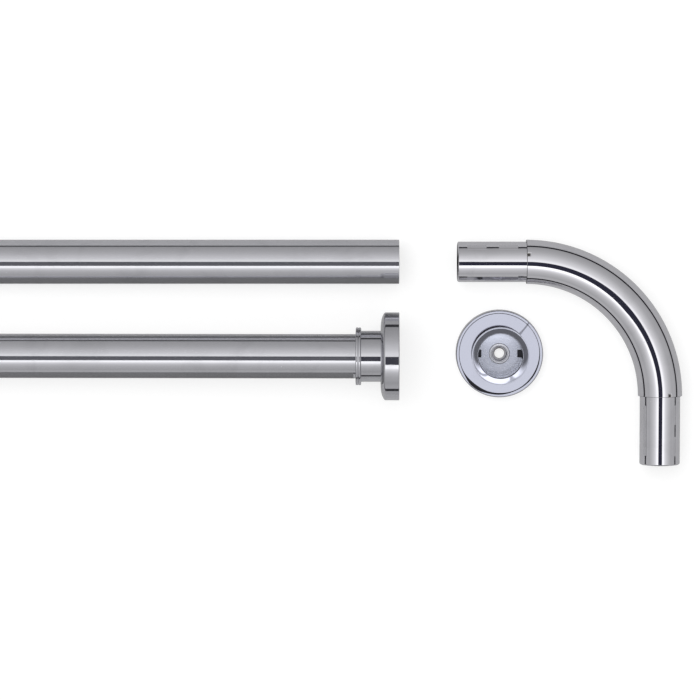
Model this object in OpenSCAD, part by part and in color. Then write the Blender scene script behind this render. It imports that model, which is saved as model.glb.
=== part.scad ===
// Corner curtain rod kit, laid out in its parts: two rods, a quarter bend with its
// two connectors, a wall flange on the lower rod and a loose wall flange beside it.
// Millimetres. Everything lies on the plane z = 0, and +X runs along the rods towards
// the elbow. The origin is the middle of the kit's outline on that plane.

/* [Rods] */
// Outside diameter of both rods and of the elbow's bend
tube_od = 25; // [22:0.5:30]
// Wall of the rods and of the bend
tube_wall = 0.9; // [0.7:0.1:1.5]
// Length of each rod as supplied, before it is cut to fit
rod_length = 720; // [300:10:1200]

/* [Elbow] */
// Radius of the bend, to the middle of the tube
bend_radius = 76; // [68:1:120]
// Length of each connector that stands out of the bend
spigot_length = 39; // [37:1:60]
// Play all round between a connector and the bore of a tube
connector_play = 0.2; // [0.15:0.05:0.35]
// Wall of the connectors
connector_wall = 1.2; // [0.9:0.1:2]
// How far round the bend a connector's tail reaches, in degrees
tail_angle = 20; // [8:1:40]
// How much slimmer the tail is than the spigot, all round
tail_step = 0.1; // [0.05:0.05:0.2]
// Chamfer on a connector's free end
spigot_chamfer = 0.6; // [0.2:0.1:0.9]
// Width of the flat ribs pressed along a connector
rib_width = 3.4; // [2:0.2:4]
// Play all round between the ribs and the bore of a rod
rib_play = 0.05; // [0.02:0.01:0.1]
// Angle of a rib from the top or the bottom of a connector
rib_angle = 52; // [40:1:70]
// Distance from a connector's free end to its ribs
rib_start = 5.6; // [3:0.2:7]
// Length of each short rib
short_rib = 10.5; // [6:0.5:11]
// Space between two short ribs in line
rib_space = 7.3; // [3:0.1:8]
// Diameter of the pip that stops a connector from turning
pip_d = 1.6; // [1.2:0.1:2.4]
// Angle of the pip from the top, towards the outside of the bend
pip_angle = 22; // [10:1:35]
// Play all round between the pip and its notch
pip_play = 0.1; // [0.05:0.05:0.2]

/* [Flange cover] */
// Diameter of the cover's disc
cover_od = 49.5; // [47:0.5:70]
// Wall of the cover
cover_wall = 0.75; // [0.6:0.05:1]
// Height of the flange from the wall to the front of its bead
flange_height = 24.6; // [23:0.2:32]
// Height of the disc's rim above the wall
rim_height = 8.2; // [7:0.1:9.5]
// Rise of the disc's domed face from its rim to the neck
face_rise = 2.25; // [1:0.05:3.5]
// How far the bead at the mouth stands out of the neck
bead_height = 1.9; // [1.7:0.1:3]
// Width of the bead along the rod
bead_width = 3.1; // [2.8:0.1:4]
// Depth of the dished lip inside the bead
lip_dish = 0.6; // [0.2:0.1:1]
// Play all round between the cover's mouth and a rod
mouth_play = 0.25; // [0.15:0.05:0.4]

/* [Wall socket] */
// Play all round between a rod and the socket it sits in
rod_play = 0.1; // [0.05:0.05:0.2]
// Wall of the socket's collar
collar_wall = 0.85; // [0.6:0.05:1.2]
// Play all round between the collar and the cover's neck
neck_play = 0.15; // [0.1:0.05:0.3]
// Play all round between the base and the cover's skirt
skirt_play = 0.6; // [0.4:0.1:0.8]
// Height of the collar's end above the wall
collar_height = 16; // [12:0.5:18]
// Height of the socket's base above the wall
base_height = 4.8; // [4.2:0.1:6]
// Width of the two slots in the collar
slot_width = 4.4; // [3:0.2:6]
// How far a slot reaches in past the collar's bore
slot_reach = 2.4; // [1:0.2:3]
// Depth of a slot below the socket's floor
slot_sink = 1.5; // [0.5:0.1:2]
// Gap between a seated rod's end and the socket's floor
seat_gap = 0.2; // [0.1:0.1:0.5]

/* [Bush and rings] */
// Screw hole through the bush
screw_hole_d = 5.7; // [4:0.1:6.5]
// Diameter of the bush's body
bush_body_d = 8.6; // [8:0.1:9.4]
// Diameter of the bush's head
bush_head_d = 11.7; // [10.6:0.1:13]
// Height of the bush's head
bush_head_height = 2; // [1.2:0.1:2.4]
// How far the bush's head lies below the socket's floor
bush_sink = 0.2; // [0.1:0.1:0.6]
// Chamfer round the bush's head
bush_edge = 0.4; // [0.1:0.1:0.6]
// Depth of the countersink in the bush's head
countersink = 1.5; // [0.6:0.05:1.8]
// Play all round between the bush and its seat
bush_play = 0.04; // [0.02:0.01:0.1]
// Thickness of the ring that holds the cover on the socket
o_ring_d = 2; // [1.6:0.1:2.2]
// Clearance of each rubber ring in its groove and on what it grips
ring_play = 0.05; // [0.02:0.01:0.1]
// Height of the grip ring in the cover's mouth
grip_ring_height = 1.6; // [1.2:0.1:1.7]
// Diameter of the wall gasket
gasket_d = 40; // [30:1:41]
// Thickness of the wall gasket
gasket_thickness = 0.6; // [0.4:0.1:1.2]

/* [Layout] */
// Gap between the upper rod and the elbow
rod_gap = 32.9; // [20:0.1:60]
// Gap between the upper rod and the flange on the lower rod
row_gap = 15.35; // [10:0.05:25]
// Gap between the two flanges
flange_gap = 32.35; // [28:0.05:40]

/* [Hidden] */
$fn = 96;

// Overrun of a cut past the face it opens, in millimetres or in degrees of the bend
cut = 1;
// Steps in the dome of the cover's face, and the power that shapes it
dome_steps = 12;
dome_power = 3.5;
// Steps in the round of the bead
bead_steps = 12;

// Radii shared by the tubes and what fits them
tube_r = tube_od / 2;
bore_r = tube_r - tube_wall;
spigot_r = bore_r - connector_play;
rib_r = bore_r - rib_play;
rib_plane = sqrt(rib_r * rib_r - rib_width * rib_width / 4);
long_rib = 2 * short_rib + rib_space;
pip_r = pip_d / 2;
pip_inset = pip_r + pip_play / 2;

// Radii of the flange, built up outwards from the rod
cover_r = cover_od / 2;
collar_bore_r = tube_r + rod_play;
collar_r = collar_bore_r + collar_wall;
neck_bore_r = collar_r + neck_play;
neck_r = neck_bore_r + cover_wall;
bead_r = neck_r + bead_height;
mouth_r = tube_r + mouth_play;
skirt_r = cover_r - cover_wall;
ring_centre_r = skirt_r - ring_play - o_ring_d / 2;
ring_groove_r = ring_centre_r - o_ring_d / 2 - ring_play;
base_r = skirt_r - skirt_play;

// Heights in the flange, from the wall
bead_start = flange_height - bead_width;
lip_edge = flange_height - lip_dish;
grip_top = lip_edge - cover_wall;
grip_bottom = grip_top - grip_ring_height;
grip_groove_r = neck_bore_r + cover_wall / 2;
rod_seat = base_height + seat_gap;
bush_shelf = base_height - bush_sink - bush_head_height;

// Places in the kit, from the crossing of the elbow's two axes
rod_a_end = -(bend_radius + spigot_length + rod_gap);
row_y = -(tube_r + row_gap + cover_r);
loose_x = rod_a_end + flange_gap + cover_r;

// The lower rod rests on its far end and on the rim of its flange, so it lies on a tilt
wall_s = rod_length + rod_seat;
tilt = atan((cover_r - tube_r) / (wall_s - rim_height));
far_x = rod_a_end - wall_s * cos(tilt);
far_z = tube_r * cos(tilt);

// Middle of the kit's outline
low_x = min(rod_a_end - rod_length, far_x - tube_r * sin(tilt));
low_y = min(-(bend_radius + spigot_length), row_y - cover_r);
mid_x = (low_x + tube_r) / 2;
mid_y = (low_y + tube_r) / 2;

// Points of an arc in a lathe profile
function arc(c, r, a0, a1, steps) =
    [for (i = [0:steps]) let (a = a0 + (a1 - a0) * i / steps) c + r * [cos(a), sin(a)]];

// Points of the domed face between two radii, from the rim inwards
function dome(r_out, r_in, z) =
    [for (i = [0:dome_steps]) let (x = 1 - i / dome_steps)
        [r_in + (r_out - r_in) * x, z + face_rise * (1 - pow(x, dome_power))]];

// A list of points, last one first
function reversed(points) = [for (i = [len(points) - 1:-1:0]) points[i]];

// Moves a piece from the crossing of the elbow's axes to the kit's own origin
module in_kit() {
    translate([-mid_x, -mid_y, 0]) children();
}

// Frame of the elbow and the upper rod: tube axes at half a tube's height
module at_axis() {
    in_kit() translate([0, 0, tube_r]) children();
}

// Frame of the lower rod: X runs along it from its far end
module at_rod_b() {
    in_kit() translate([far_x, row_y, far_z]) rotate([0, -tilt, 0]) children();
}

// Frame of the flange on the lower rod: Z points away from the wall
module at_flange_b() {
    at_rod_b() translate([wall_s, 0, 0]) rotate([0, -90, 0]) children();
}

// Frame of the loose flange, which lies on its back
module at_flange_a() {
    in_kit() translate([loose_x, row_y, 0]) children();
}

// Solid bar along X from x0 to x1
module bar(r, x0, x1) {
    translate([x0, 0, 0]) rotate([0, 90, 0]) cylinder(r = r, h = x1 - x0);
}

// Solid bent bar from a0 to a1 round the centre of the bend
module bent_bar(r, a0, a1) {
    translate([-bend_radius, -bend_radius, 0])
        rotate([0, 0, a0])
            rotate_extrude(angle = a1 - a0)
                translate([bend_radius, 0]) circle(r = r);
}

// Straight rod, a plain tube cut square at both ends
module rod() {
    difference() {
        bar(tube_r, 0, rod_length);
        bar(bore_r, -cut, rod_length + cut);
    }
}

// Turns its children from the top of a connector to the place of the pip
module at_pip() {
    translate([-bend_radius + pip_inset, 0, 0]) rotate([-pip_angle, 0, 0]) children();
}

// Notch in the end of the bend that takes a pip
module pip_notch() {
    at_pip() translate([0, 0, spigot_r]) cylinder(r = pip_r + pip_play, h = tube_r);
    at_pip()
        translate([-pip_inset - cut, -pip_r - pip_play, spigot_r])
            cube([pip_inset + cut, 2 * (pip_r + pip_play), tube_r]);
}

// Quarter bend: a tube with a notch in each end
module bend() {
    difference() {
        bent_bar(tube_r, 0, 90);
        bent_bar(bore_r, -cut, 90 + cut);
        pip_notch();
        mirror([1, -1, 0]) pip_notch();
    }
}

// Flat rib along a connector, a turned away from the top
module rib(a, from_end, length) {
    translate([-bend_radius - spigot_length + from_end, 0, 0])
        rotate([-a, 0, 0])
            translate([0, -rib_width / 2, spigot_r - connector_wall / 2])
                cube([length, rib_width, rib_plane - spigot_r + connector_wall / 2]);
}

// Connector: a ribbed spigot outside the bend and a tail that follows the bend inside
module connector() {
    difference() {
        union() {
            bar(spigot_r, -bend_radius - spigot_length + spigot_chamfer, -bend_radius);
            translate([-bend_radius - spigot_length, 0, 0])
                rotate([0, 90, 0])
                    cylinder(r1 = spigot_r - spigot_chamfer, r2 = spigot_r, h = spigot_chamfer);
            bent_bar(spigot_r - tail_step, 90 - tail_angle, 90 + cut);
            for (a = [rib_angle, 180 - rib_angle]) {
                rib(a, rib_start, short_rib);
                rib(a, rib_start + short_rib + rib_space, short_rib);
                rib(-a, rib_start, long_rib);
            }
            at_pip()
                translate([0, 0, spigot_r - connector_wall / 2])
                    cylinder(r = pip_r, h = tube_wall + connector_wall / 2);
        }
        bar(spigot_r - connector_wall, -bend_radius - spigot_length - cut, -bend_radius);
        bent_bar(spigot_r - connector_wall - tail_step, 90 - tail_angle - cut, 90 + cut);
    }
}

// Cover: a domed disc with a neck and a beaded mouth, hollow behind
module flange_cover() {
    bead_half = bead_width / 2;
    rotate_extrude()
        polygon(concat(
            [[skirt_r, 0], [cover_r, 0]],
            dome(cover_r, neck_r, rim_height),
            [[neck_r, bead_start]],
            arc([bead_r - bead_half, bead_start + bead_half], bead_half, -90, 90, bead_steps),
            [[mouth_r, lip_edge], [mouth_r, grip_top], [grip_groove_r, grip_top]],
            [[grip_groove_r, grip_bottom], [neck_bore_r, grip_bottom]],
            reversed(dome(skirt_r, neck_bore_r, rim_height - cover_wall))
        ));
}

// Rubber ring inside the mouth that steadies the cover on the rod
module grip_ring() {
    in_r = tube_r + ring_play;
    out_r = grip_groove_r - ring_play;
    low = grip_bottom + ring_play;
    high = grip_top - ring_play;
    ease = grip_ring_height / 4;
    rotate_extrude()
        polygon([
            [out_r, low], [out_r, high], [in_r + ease, high],
            [in_r, high - ease], [in_r, low + ease], [in_r + ease, low]
        ]);
}

// Wall socket: a round base with a slotted collar that takes the rod's end
module wall_socket() {
    groove_half = o_ring_d / 2 + ring_play;
    groove_z = base_height / 2;
    head_seat_r = bush_head_d / 2 + bush_play;
    body_seat_r = bush_body_d / 2 + bush_play;
    difference() {
        rotate_extrude()
            polygon([
                [gasket_d / 2, 0], [base_r, 0],
                [base_r, groove_z - groove_half], [ring_groove_r, groove_z - groove_half],
                [ring_groove_r, groove_z + groove_half], [base_r, groove_z + groove_half],
                [base_r, base_height], [collar_r, base_height],
                [collar_r, collar_height], [collar_bore_r, collar_height],
                [collar_bore_r, base_height], [head_seat_r, base_height],
                [head_seat_r, bush_shelf], [body_seat_r, bush_shelf],
                [body_seat_r, gasket_thickness], [gasket_d / 2, gasket_thickness]
            ]);
        for (side = [0, 180])
            rotate([0, 0, side])
                translate([collar_bore_r - slot_reach, -slot_width / 2, base_height - slot_sink])
                    cube([slot_reach + collar_wall + neck_play, slot_width, collar_height]);
    }
}

// Steel bush: its head lies in the socket's floor, with the screw hole through it
module screw_bush() {
    hole_r = screw_hole_d / 2;
    head_r = bush_head_d / 2;
    top = bush_shelf + bush_head_height;
    rotate_extrude()
        polygon([
            [hole_r, gasket_thickness], [bush_body_d / 2, gasket_thickness],
            [bush_body_d / 2, bush_shelf], [head_r, bush_shelf],
            [head_r, top - bush_edge], [head_r - bush_edge, top],
            [hole_r + countersink, top], [hole_r, top - countersink]
        ]);
}

// Ring in the base's groove that holds the cover on
module cover_o_ring() {
    translate([0, 0, base_height / 2])
        rotate_extrude() translate([ring_centre_r, 0]) circle(r = o_ring_d / 2, $fn = 32);
}

// Thin gasket let into the back of the base
module wall_gasket() {
    difference() {
        cylinder(r = gasket_d / 2 - ring_play, h = gasket_thickness);
        translate([0, 0, -cut]) cylinder(d = bush_body_d, h = gasket_thickness + 2 * cut);
    }
}

module rod_a() { color("silver") at_axis() translate([rod_a_end - rod_length, 0, 0]) rod(); }
module rod_b() { color("silver") at_rod_b() rod(); }
module elbow_bend() { color("gainsboro") at_axis() bend(); }
module connector_a() { color("lightsteelblue") at_axis() connector(); }
module connector_b() { color("lightsteelblue") at_axis() mirror([1, -1, 0]) connector(); }
module flange_cover_a() { color("lightgray") at_flange_a() flange_cover(); }
module rod_grip_ring_a() { color("dimgray") at_flange_a() grip_ring(); }
module wall_socket_a() { color("slategray") at_flange_a() wall_socket(); }
module screw_bush_a() { color("darkgray") at_flange_a() screw_bush(); }
module cover_o_ring_a() { color("black") at_flange_a() cover_o_ring(); }
module wall_gasket_a() { color("gray") at_flange_a() wall_gasket(); }
module flange_cover_b() { color("lightgray") at_flange_b() flange_cover(); }
module rod_grip_ring_b() { color("dimgray") at_flange_b() grip_ring(); }
module wall_socket_b() { color("slategray") at_flange_b() wall_socket(); }
module screw_bush_b() { color("darkgray") at_flange_b() screw_bush(); }
module cover_o_ring_b() { color("black") at_flange_b() cover_o_ring(); }
module wall_gasket_b() { color("gray") at_flange_b() wall_gasket(); }

rod_a();
rod_b();
elbow_bend();
connector_a();
connector_b();
flange_cover_a();
rod_grip_ring_a();
wall_socket_a();
screw_bush_a();
cover_o_ring_a();
wall_gasket_a();
flange_cover_b();
rod_grip_ring_b();
wall_socket_b();
screw_bush_b();
cover_o_ring_b();
wall_gasket_b();
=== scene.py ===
# %% [markdown]
# A corner curtain rod, laid out in its parts and dressed round its frame.
#
# The object is a kit: two chromed rods, a quarter bend with its two ribbed
# connectors, one wall flange on the lower rod and one loose on its back. The packed
# frame says where each part is, how large it is and how it moves. This script gives
# every part its finished shape and surface, and never moves one.

# %% Load the fixed frame
import math

import bmesh
import bpy
from mathutils import Matrix, Vector


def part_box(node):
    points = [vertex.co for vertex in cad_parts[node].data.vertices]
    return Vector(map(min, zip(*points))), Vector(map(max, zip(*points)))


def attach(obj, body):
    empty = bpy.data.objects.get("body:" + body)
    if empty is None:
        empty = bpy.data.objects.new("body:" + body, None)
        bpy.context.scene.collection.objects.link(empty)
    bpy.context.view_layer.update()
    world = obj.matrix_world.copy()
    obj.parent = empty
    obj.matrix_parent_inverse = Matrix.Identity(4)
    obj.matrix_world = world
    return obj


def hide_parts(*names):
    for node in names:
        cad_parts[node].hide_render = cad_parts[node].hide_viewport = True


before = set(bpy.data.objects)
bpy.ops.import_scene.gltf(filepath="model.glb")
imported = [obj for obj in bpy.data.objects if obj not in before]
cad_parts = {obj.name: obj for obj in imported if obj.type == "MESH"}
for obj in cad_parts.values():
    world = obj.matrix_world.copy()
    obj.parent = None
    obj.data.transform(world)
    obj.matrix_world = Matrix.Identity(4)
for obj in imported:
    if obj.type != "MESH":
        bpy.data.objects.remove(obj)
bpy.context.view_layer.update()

# %% [markdown]
# The main sizes come out of the frame, so the dressed parts follow it. The elbow's
# box gives the crossing of its two tube axes and the radius of the bend, the upper
# rod's box gives the tube, and a bush is round and true, so its box centres a flange.

# %% Read the tube, the elbow and the flanges from the frame
rod_low, rod_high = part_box("rod_a")
bend_low, bend_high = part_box("elbow_bend")
bush_low, bush_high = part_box("screw_bush_a")
spigot_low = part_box("connector_a")[0]
cover_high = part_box("flange_cover_a")[1]
lower_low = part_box("rod_b")[0]

tube_r = rod_high.z / 2
rod_length = rod_high.x - rod_low.x
corner = Vector((bend_high.x - tube_r, bend_high.y - tube_r, tube_r))
bend_radius = corner.x - bend_low.x
spigot_length = bend_low.x - spigot_low.x
flange_height = cover_high.z
loose_centre = (bush_low + bush_high) / 2
print(f"tube {2 * tube_r:.4f}, rods {rod_length:.3f}")
print(f"bend {bend_radius:.4f}, spigots {spigot_length:.4f}")

# %% [markdown]
# Walls and clearances do not show in a box. Each is written down once, in metres, in
# the step that first needs it, and what fits in another part takes its size from
# that part and a named play. These few say how a flange stands on its rod.

# %% How a flange stands on its rod
cover_r = 0.02475
rim_height = 0.0082
base_height = 0.0048
seat_play = 0.0002
rod_seat = base_height + seat_play
wall_distance = rod_length + rod_seat
print(f"wall face {wall_distance:.4f} from the rod's far end")

# %% [markdown]
# Each group of parts has its own frame of axes. The elbow and the upper rod share
# one line. The lower rod rests on its far end and on the rim of its flange, so it
# climbs a little, and that slope follows from the same sizes. The elbow's second leg
# is the first one turned and mirrored, because its ribs face the same inside corner.

# %% The frames in which the parts are made
quarter = math.radians(90)
along_x = Matrix.Rotation(quarter, 4, "Y")
tilt = math.atan((cover_r - tube_r) / (wall_distance - rim_height))
far_end = Vector((lower_low.x + tube_r * math.sin(tilt), loose_centre.y, tube_r * math.cos(tilt)))

at_elbow = Matrix.Translation(corner)
at_second_tube = at_elbow @ Matrix.Rotation(quarter, 4, "Z")
at_second_leg = at_second_tube @ Matrix.Scale(-1, 4, (0, 1, 0))
at_upper_rod = Matrix.Translation((rod_low.x, corner.y, tube_r)) @ along_x
at_lower_rod = Matrix.Translation(far_end) @ Matrix.Rotation(-tilt, 4, "Y")
to_wall_face = Matrix.Translation((wall_distance, 0, 0)) @ Matrix.Rotation(-quarter, 4, "Y")
at_fixed_flange = at_lower_rod @ to_wall_face
at_loose_flange = Matrix.Translation((loose_centre.x, loose_centre.y, 0))
print(f"the lower rod climbs {math.degrees(tilt):.3f} degrees")

# %% [markdown]
# The camera comes first, because everything else is judged through it.

# %% The camera
view_width = 0.3964
sensor = 36.0
lens = 200.0
camera_lean = math.radians(4.5)
aim_left = 0.17567
aim_near = 0.05
aim = Vector((corner.x - aim_left, corner.y - aim_near, tube_r))
distance = view_width * lens / sensor

camera = bpy.data.objects.new("camera", bpy.data.cameras.new("camera"))
bpy.context.scene.collection.objects.link(camera)
camera.data.sensor_width = sensor
camera.data.lens = lens
camera.data.clip_end = 100.0
back = Vector((0, math.sin(camera_lean), math.cos(camera_lean)))
camera.location = aim + back * distance
camera.rotation_euler = (-camera_lean, 0, 0)
bpy.context.scene.camera = camera
print(f"camera {distance:.3f} m from the kit")

# %% [markdown]
# Nearly every part here is turned or rolled, so one lathe makes most of them: a
# closed outline of corners, each rounded by its own small radius, spun once round Z.
# The rounding matters more than it seems, because a bright metal edge with no
# radius catches no light and looks drawn instead of made.

# %% A lathe for outlines with rounded corners
turn_steps = 192
corner_segments = 5


def lathe(outline, bore=0.0):
    """Turns a closed outline of (radius, height, rounding) corners once round Z.

    Faces nearer to the axis than bore get the second material.
    """
    bm = bmesh.new()
    corners = [bm.verts.new((r, 0, z)) for r, z, _ in outline]
    bm.faces.new(corners)
    for vert, (_, _, rounding) in zip(corners, outline):
        if rounding:
            bmesh.ops.bevel(bm, geom=[vert], offset=rounding, segments=corner_segments,
                            profile=0.5, affect="VERTICES", material=-1)
    bmesh.ops.delete(bm, geom=bm.faces[:], context="FACES_ONLY")
    bmesh.ops.spin(bm, geom=bm.verts[:] + bm.edges[:], axis=(0, 0, 1), cent=(0, 0, 0),
                   angle=2 * math.pi, steps=turn_steps, use_merge=True)
    bmesh.ops.recalc_face_normals(bm, faces=bm.faces[:])
    for face in bm.faces:
        middle = face.calc_center_median()
        face.material_index = int(math.hypot(middle.x, middle.y) < bore)
    return bm


print("lathe ready,", turn_steps, "steps a turn")

# %% [markdown]
# A finished piece is a mesh at its place, with its object left at the origin. Its
# faces are smooth, its edges sharp past a set angle, and weighted normals keep the
# shading of a small rounding out of the flat or straight wall beside it.

# %% From a bmesh to a piece in its place
sharp_angle = math.radians(50)


def make_piece(bm, name, place):
    """Puts a bmesh in its place and gives it smooth faces with crisp edges."""
    bmesh.ops.transform(bm, matrix=place, verts=bm.verts[:])
    bmesh.ops.recalc_face_normals(bm, faces=bm.faces[:])
    for face in bm.faces:
        face.smooth = True
    for edge in bm.edges:
        edge.smooth = len(edge.link_faces) == 2 and edge.calc_face_angle() < sharp_angle
    mesh = bpy.data.meshes.new(name)
    bm.to_mesh(mesh)
    bm.free()
    piece = bpy.data.objects.new(name, mesh)
    bpy.context.scene.collection.objects.link(piece)
    weighted = piece.modifiers.new("flat faces stay flat", "WEIGHTED_NORMAL")
    weighted.keep_sharp = True
    print(name, len(mesh.polygons), "faces")
    return piece


# %% [markdown]
# A rod is a plain welded tube, cut square and eased at its edges. The faces of its
# bore get a second, duller material, because plating hardly reaches in there.

# %% The two rods
tube_wall = 0.0009
bore_r = tube_r - tube_wall
mid_wall = tube_r - tube_wall / 2
cut_ease = 0.00018
rod_outline = [
    (bore_r, 0, cut_ease), (tube_r, 0, cut_ease),
    (tube_r, rod_length, cut_ease), (bore_r, rod_length, cut_ease),
]
upper_rod = make_piece(lathe(rod_outline, mid_wall), "upper_rod_tube", at_upper_rod)
lower_rod = make_piece(lathe(rod_outline, mid_wall), "lower_rod_tube", at_lower_rod @ along_x)

# %% [markdown]
# The bend is the same tube drawn round a quarter circle. It is made with the corner
# where its two axes cross at the origin, so its own centre lies one bend radius away
# on both sides. Each end has a small notch for the pip of its connector.

# %% Finding a place on the bend
bend_centre = Vector((-bend_radius, -bend_radius, 0))
pip_angle = math.radians(22)
notch_half_angle = math.radians(4.6)
notch_depth = math.radians(1.3)


def bend_place(point):
    """Angle left to the nearer end of the bend, and angle round the tube from its top."""
    flat = Vector((point.x - bend_centre.x, point.y - bend_centre.y))
    along = math.atan2(flat.y, flat.x)
    return min(along, quarter - along), math.atan2(flat.length - bend_radius, point.z)


def from_middle_line(point):
    """Distance from the line that runs through the middle of the bent tube."""
    flat = math.hypot(point.x - bend_centre.x, point.y - bend_centre.y)
    return math.hypot(flat - bend_radius, point.z)


def in_notch(face):
    """True for a face in the notch at either end."""
    to_end, around = bend_place(face.calc_center_median())
    return to_end < notch_depth and abs(around - pip_angle) < notch_half_angle


print(f"notches at {math.degrees(pip_angle):.0f} degrees from the top of the tube")

# %% [markdown]
# Two rings are spun about the centre of the bend, the outer wall and the bore. A few
# faces come out of both walls at each notch, and one bridge between the two open
# rims closes the end face and the sides of the notch together.

# %% The walls of the quarter bend
ring_count = 160
bend_steps = 144
rim_crease = math.radians(60)


def ring_edges(verts):
    """The edges that join these vertices to each other, each one once."""
    chosen = set(verts)
    return list(dict.fromkeys(e for v in verts for e in v.link_edges if set(e.verts) <= chosen))


def close_ends(bm, parting):
    """Bridges the open rims on either side of a parting plane across X."""
    for at_start in (True, False):
        rims = [e for e in bm.edges if len(e.link_faces) == 1]
        rims = [e for e in rims if (e.verts[0].co.x < parting) == at_start]
        bmesh.ops.bridge_loops(bm, edges=rims)
    bmesh.ops.recalc_face_normals(bm, faces=bm.faces[:])


bend = bmesh.new()
for radius in (tube_r, bore_r):
    ring = bmesh.ops.create_circle(bend, segments=ring_count, radius=radius,
                                   matrix=Matrix.Translation((-bend_radius, 0, 0)) @ along_x)
    bmesh.ops.spin(bend, geom=ring_edges(ring["verts"]), axis=(0, 0, 1), cent=bend_centre,
                   angle=-quarter, steps=bend_steps, use_merge=False)
bmesh.ops.delete(bend, geom=[f for f in bend.faces if in_notch(f)], context="FACES")
close_ends(bend, -bend_radius / 2)
rim_edges = [e for e in bend.edges if e.calc_face_angle() > rim_crease]
bmesh.ops.bevel(bend, geom=rim_edges, offset=cut_ease, segments=2, profile=0.5,
                affect="EDGES", material=-1)
print("bend walls", len(bend.faces), "faces,", len(rim_edges), "rim edges eased")

# %% [markdown]
# A cut just behind each rounded rim keeps its shading from spreading over the wall.
# The outer faces of each rounded rim get the near-black third material, painted shade
# for the dark joint line at each end of the bend.

# %% The cut ends of the bend
support = 1.1 * cut_ease / (bend_radius - tube_r)
for turn in (support, quarter - support):
    everything = bend.verts[:] + bend.edges[:] + bend.faces[:]
    bmesh.ops.bisect_plane(bend, geom=everything, plane_co=bend_centre,
                           plane_no=(-math.sin(turn), math.cos(turn), 0))
for face in bend.faces:
    middle = face.calc_center_median()
    off_middle_line = from_middle_line(middle)
    face.material_index = int(off_middle_line < mid_wall)
    to_end = bend_place(middle)[0] * bend_radius
    # the outer rim faces at each end take the near-black third material: painted shade
    if to_end < cut_ease and off_middle_line > mid_wall:
        face.material_index = 2
elbow = make_piece(bend, "elbow_tube", at_elbow)

# %% [markdown]
# A connector is a thin tube that fits in the bore: a straight spigot for the rod and
# a short curved tail that hides in the bend. Ribs are pressed out of its wall, two
# short ones on each outer flank and a long one on each inner flank. They take up the
# play in the rod, so they reach almost as far out as the bore allows.

# %% Sizes of the connectors
hair_gap = 0.00005
connector_play = 0.0002
connector_wall = 0.0012
spigot_r = bore_r - connector_play
spigot_chamfer = 0.0006
chamfer_angle = math.radians(46)
end_ease = 0.00007
tail_angle = math.radians(20)
tail_step = 0.0001
free_end = -bend_radius - spigot_length

rib_width = 0.0034
rib_reach = bore_r - hair_gap
rib_angle = math.radians(52)
rib_start = 0.0056
short_rib = 0.0105
rib_space = 0.0073
rib_ramp = 0.0003
long_rib = 2 * short_rib + rib_space
short_pair = [(rib_start, short_rib), (rib_start + short_rib + rib_space, short_rib)]
ribs = [(flank, *rib) for flank in (rib_angle, math.pi - rib_angle) for rib in short_pair]
ribs += [(flank, rib_start, long_rib) for flank in (-rib_angle, rib_angle - math.pi)]
print(f"spigot {2 * spigot_r:.4f} across, {len(ribs)} ribs")

# %% [markdown]
# A connector starts as a ring at its free end. The ring is drawn out station by
# station, with stations where a rib begins and ends, and then spun round the centre
# of the bend for the tail.

# %% The walls of a connector
connector_sides = 180
tail_steps = 20
plain_stops = {0.003, 0.020, 0.036}
stops = {spigot_chamfer} | plain_stops
for start, length in short_pair:
    stops |= {start - rib_ramp, start, start + length, start + length + rib_ramp}

inner_r = spigot_r - connector_wall
tail_start = -bend_radius - tail_step
outer_wall = [(free_end, spigot_r - spigot_chamfer * math.tan(chamfer_angle))]
outer_wall += [(free_end + stop, spigot_r) for stop in sorted(stops)]
outer_wall += [(tail_start, spigot_r), (-bend_radius, spigot_r - tail_step)]
inner_wall = [(free_end, inner_r), (tail_start, inner_r), (-bend_radius, inner_r - tail_step)]


def draw_out(bm, stations):
    """Draws a ring along X through (x, radius) stations and spins its last edge round the bend."""
    x, radius = stations[0]
    ring = bmesh.ops.create_circle(bm, segments=connector_sides, radius=radius,
                                   matrix=Matrix.Translation((x, 0, 0)) @ along_x)
    verts = ring["verts"]
    for next_x, next_radius in stations[1:]:
        made = bmesh.ops.extrude_edge_only(bm, edges=ring_edges(verts))
        verts = [g for g in made["geom"] if isinstance(g, bmesh.types.BMVert)]
        bmesh.ops.translate(bm, verts=verts, vec=(next_x - x, 0, 0))
        growth = next_radius / radius
        bmesh.ops.scale(bm, verts=verts, vec=(1, growth, growth))
        x, radius = next_x, next_radius
    bmesh.ops.spin(bm, geom=ring_edges(verts), axis=(0, 0, 1), cent=bend_centre,
                   angle=-tail_angle, steps=tail_steps, use_merge=False)


print(len(outer_wall), "stations along the outer wall")

# %% [markdown]
# Each rib is a flat along the tube. The wall is moved out to a plane there, which
# breaks the reflections the way the photograph shows. The columns of vertices beside
# a rib are moved to its exact edges first, so the flat has straight, crisp sides.

# %% Pressing the ribs
tiny = 1e-6
column = 2 * math.pi / connector_sides
rib_plane = math.sqrt(rib_reach ** 2 - rib_width ** 2 / 4)
rib_half_angle = math.asin(rib_width / 2 / rib_reach)
rib_edge_angle = math.radians(1.1)


def nearest_column(angle):
    """The angle of the nearest column of vertices, rounded to serve as a key."""
    return round(round(angle / column) * column, 4)


snapped = {}
for flank in {rib[0] for rib in ribs}:
    for sign in (-1, 1):
        for away in (rib_half_angle, rib_half_angle + rib_edge_angle):
            snapped[nearest_column(flank + sign * away)] = flank + sign * away


def press_ribs(bm):
    """Moves the outer wall out to the flats of the ribs."""
    for vert in bm.verts:
        radius = math.hypot(vert.co.y, vert.co.z)
        if abs(radius - spigot_r) > tiny:
            continue
        angle = math.atan2(vert.co.y, vert.co.z)
        angle = snapped.get(nearest_column(angle), angle)
        from_end = vert.co.x - free_end
        for flank, start, length in ribs:
            on_length = start - tiny < from_end < start + length + tiny
            if on_length and abs(angle - flank) < rib_half_angle + tiny:
                radius = rib_plane / math.cos(angle - flank)
        vert.co.y = radius * math.sin(angle)
        vert.co.z = radius * math.cos(angle)


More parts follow.
